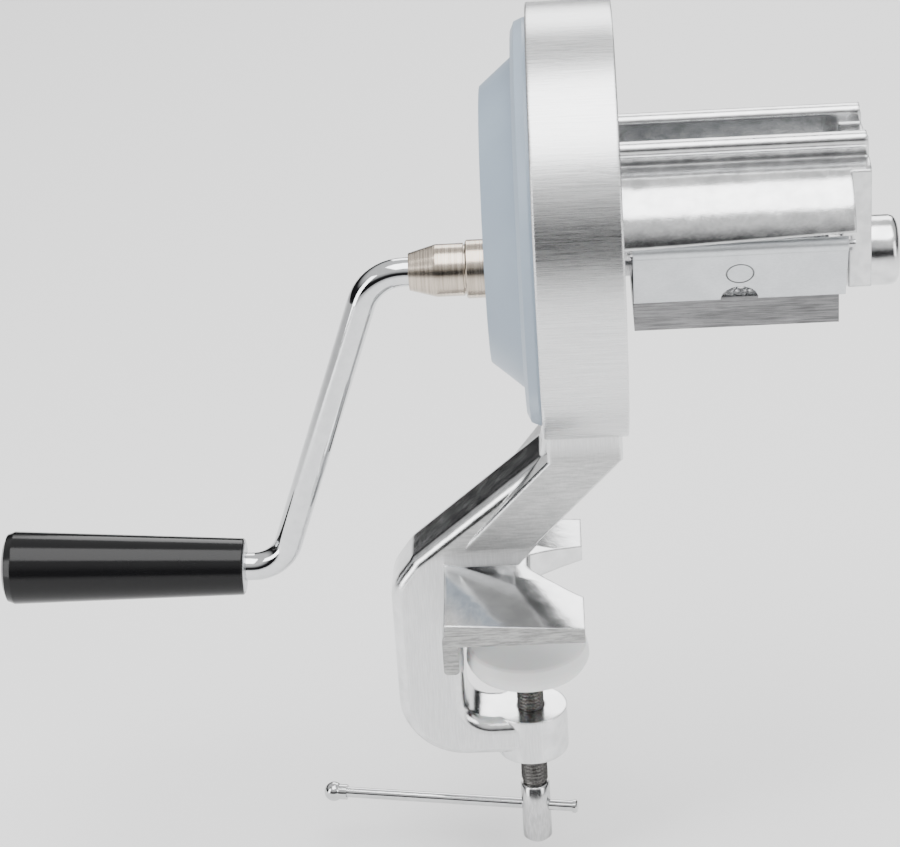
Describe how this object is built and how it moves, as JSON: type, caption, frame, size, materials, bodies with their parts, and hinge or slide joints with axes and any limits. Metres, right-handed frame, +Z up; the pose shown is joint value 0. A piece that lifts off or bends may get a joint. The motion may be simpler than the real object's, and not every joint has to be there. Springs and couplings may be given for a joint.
{
  "type": "rotary cheese grater",
  "caption": "Table-clamped rotary cheese grater with a round end housing, hopper over a grating drum, hand crank, sprung front flap and a screw clamp.",
  "frame": {"origin": "on the clamp screw's axis, in the underside of the upper jaw, which rests on the table top", "axes": "+Z up along the clamp screw; +X along the crank's axis from the crank to the outboard bearing; +Y away from the flap's side"},
  "size_m": [0.3184, 0.147, 0.3226],
  "materials": {
    "cast_aluminium": "polished casting, brushed round the ring",
    "frame_aluminium": "casting, polished arm and satin sides",
    "cover_plastic": "satin blue-grey",
    "bearing_bronze": "plain",
    "shaft_steel": "ground",
    "drum_steel": "bright sheet",
    "hub_aluminium": "turned",
    "collar_nickel": "warm, finely turned",
    "rod_chrome": "mirror",
    "grip_black": "gloss",
    "washer_aluminium": "satin",
    "plug_black": "satin",
    "flap_grey": "light grey satin",
    "spring_steel": "bright wire and pin stock",
    "sleeve_steel": "brushed sheet",
    "rivet_aluminium": "plain",
    "screw_steel": "darkened thread, bright post",
    "pad_white": "slightly translucent white",
    "bar_steel": "polished"
  },
  "bodies": {
    "housing": {"head_casting": "cast_aluminium", "clamp_frame": "frame_aluminium", "end_cover": "cover_plastic", "cover_bush": "bearing_bronze", "outboard_bush": "bearing_bronze", "discharge_sleeve": "sleeve_steel", "sleeve_rivets": "rivet_aluminium", "flap_pin": "spring_steel", "flap_spring": "spring_steel"},
    "rotor": {"drum_shaft": "shaft_steel", "grating_drum": "drum_steel", "drum_hub_left": "hub_aluminium", "drum_hub_right": "hub_aluminium", "drive_pins": "shaft_steel", "thrust_ring": "collar_nickel", "crank_collar": "collar_nickel", "crank_rod": "rod_chrome", "rod_retainer": "shaft_steel"},
    "grip": {"grip": "grip_black", "grip_washer": "washer_aluminium", "grip_plug": "plug_black"},
    "flap": {"front_flap": "flap_grey"},
    "pad": {"clamp_pad": "pad_white"},
    "screw": {"clamp_screw": "screw_steel", "pad_clip": "spring_steel"},
    "tommy": {"tommy_bar": "bar_steel", "tommy_ball": "bar_steel"}
  },
  "joints": [
    {"name": "crank_spin", "type": "hinge", "parent": "housing", "child": "rotor", "pos_m": [0, 0, 0.1255], "axis": [1, 0, 0], "continuous": true},
    {"name": "grip_spin", "type": "hinge", "parent": "rotor", "child": "grip", "pos_m": [-0.09959, 0, 0.01355], "axis": [-0.9991, 0, 0.0419], "continuous": true},
    {"name": "flap_swing", "type": "hinge", "parent": "housing", "child": "flap", "pos_m": [0, -0.0334, 0.1427], "axis": [-1, 0, 0], "range_deg": [0, 75], "stiffness_Nm_per_rad": 0.02, "springref_deg": -17.19},
    {"name": "pad_travel", "type": "slide", "parent": "housing", "child": "pad", "axis": [0, 0, 1], "range_m": [-0.01255, 0.01505]},
    {"name": "screw_turn", "type": "hinge", "parent": "pad", "child": "screw", "pos_m": [0, 0, 0], "axis": [0, 0, 1], "range_deg": [-3000, 3600]},
    {"name": "tommy_slide", "type": "slide", "parent": "screw", "child": "tommy", "axis": [-0.9848, 0.1736, 0], "range_m": [-0.067, 0.0084]}
  ],
  "couplings": [
    {"joint": "pad_travel", "follows": "screw_turn", "m_per_rad": 0.00023873}
  ]
}
